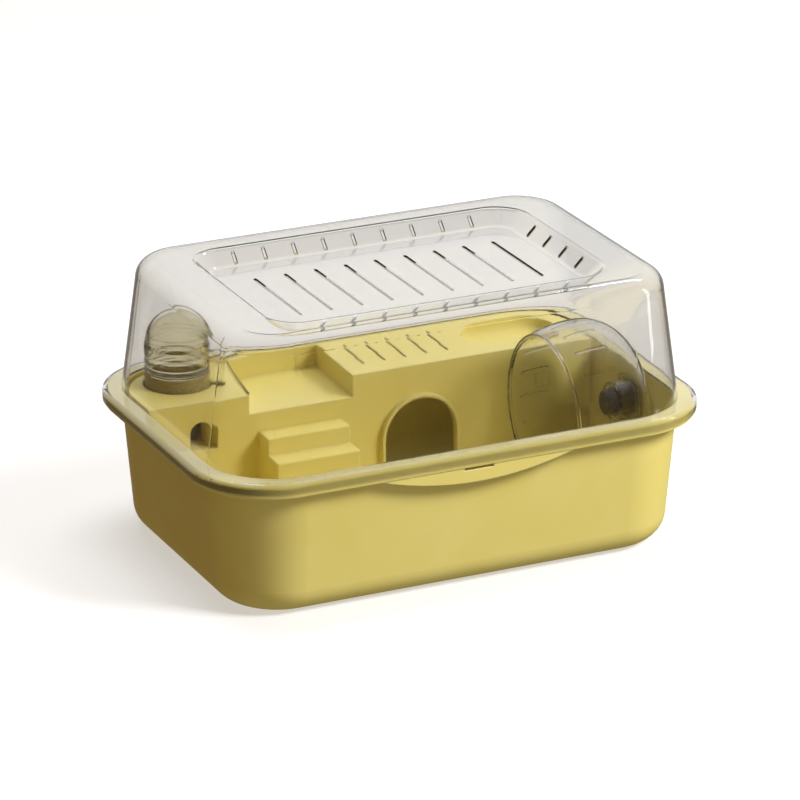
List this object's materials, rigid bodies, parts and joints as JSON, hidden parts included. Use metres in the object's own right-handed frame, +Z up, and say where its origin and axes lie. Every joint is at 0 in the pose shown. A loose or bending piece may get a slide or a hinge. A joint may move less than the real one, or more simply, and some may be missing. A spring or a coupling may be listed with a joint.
{
  "type": "hamster cage",
  "caption": "Small-pet cage: a drafted tub with a lift-off clear vented lid, a nest deck with stairs, food bowl and water font, and a clear running wheel on bearings.",
  "frame": {"origin": "centre of the cage's footprint, at the underside of the tub's floor", "axes": "+X along the long side towards the running wheel, +Y from the front (the side with the finger grip) to the back, +Z up"},
  "size_m": [0.46, 0.3172, 0.2413],
  "materials": {
    "yellow_plastic": "satin moulded polystyrene, fine grain",
    "clear_lid_plastic": "clear moulded polystyrene, slightly hazy",
    "clear_wheel_plastic": "clear moulded plastic",
    "clear_bottle_plastic": "clear moulded plastic",
    "smoked_plastic": "translucent olive-brown plastic",
    "dark_plastic": "satin moulded",
    "seal_rubber": "translucent silicone, matt",
    "screw_steel": "bright zinc plated",
    "bearing_steel": "ground and polished",
    "cage_brass": "pressed, bright"
  },
  "bodies": {
    "tub": {"base_tub": "yellow_plastic", "wall_bracket": "clear_wheel_plastic"},
    "lid": {"lid_shell": "clear_lid_plastic"},
    "deck": {"platform_deck": "yellow_plastic", "stair_block": "yellow_plastic"},
    "bottle": {"bottle_dome": "clear_bottle_plastic", "bottle_base": "smoked_plastic", "bottle_seal": "seal_rubber", "flow_plug": "smoked_plastic"},
    "wheel_mount": {"hub_housing": "dark_plastic", "wheel_wall_plate": "clear_wheel_plastic", "plate_screws": "screw_steel", "bearing_outer_rings": "bearing_steel", "housing_circlip": "screw_steel"},
    "wheel": {"wheel_drum": "clear_wheel_plastic", "hub_cap": "dark_plastic", "axle_bolt": "screw_steel", "axle_washer": "screw_steel", "bearing_spacer": "screw_steel", "axle_nut": "screw_steel", "bearing_inner_rings": "bearing_steel"},
    "bearing_set": {"bearing_cages": "cage_brass", "bearing_balls": "bearing_steel"}
  },
  "joints": [
    {"name": "lid_lift", "type": "slide", "parent": "tub", "child": "lid", "axis": [0, 0, 1], "range_m": [0, 0.13]},
    {"name": "deck_lift", "type": "slide", "parent": "tub", "child": "deck", "axis": [0, 0, 1], "range_m": [0, 0.02]},
    {"name": "bottle_lift", "type": "slide", "parent": "deck", "child": "bottle", "axis": [0, 0, 1], "range_m": [0, 0.035]},
    {"name": "wheel_lift", "type": "slide", "parent": "tub", "child": "wheel_mount", "axis": [0, 0, 1], "range_m": [0, 0.028]},
    {"name": "wheel_spin", "type": "hinge", "parent": "wheel_mount", "child": "wheel", "pos_m": [0.165, -0.031, 0.0965], "axis": [1, 0, 0], "continuous": true},
    {"name": "bearing_orbit", "type": "hinge", "parent": "wheel_mount", "child": "bearing_set", "pos_m": [0.1957, -0.031, 0.0965], "axis": [1, 0, 0], "continuous": true}
  ],
  "couplings": [
    {"joint": "bearing_orbit", "follows": "wheel_spin", "ratio": 0.4008}
  ]
}
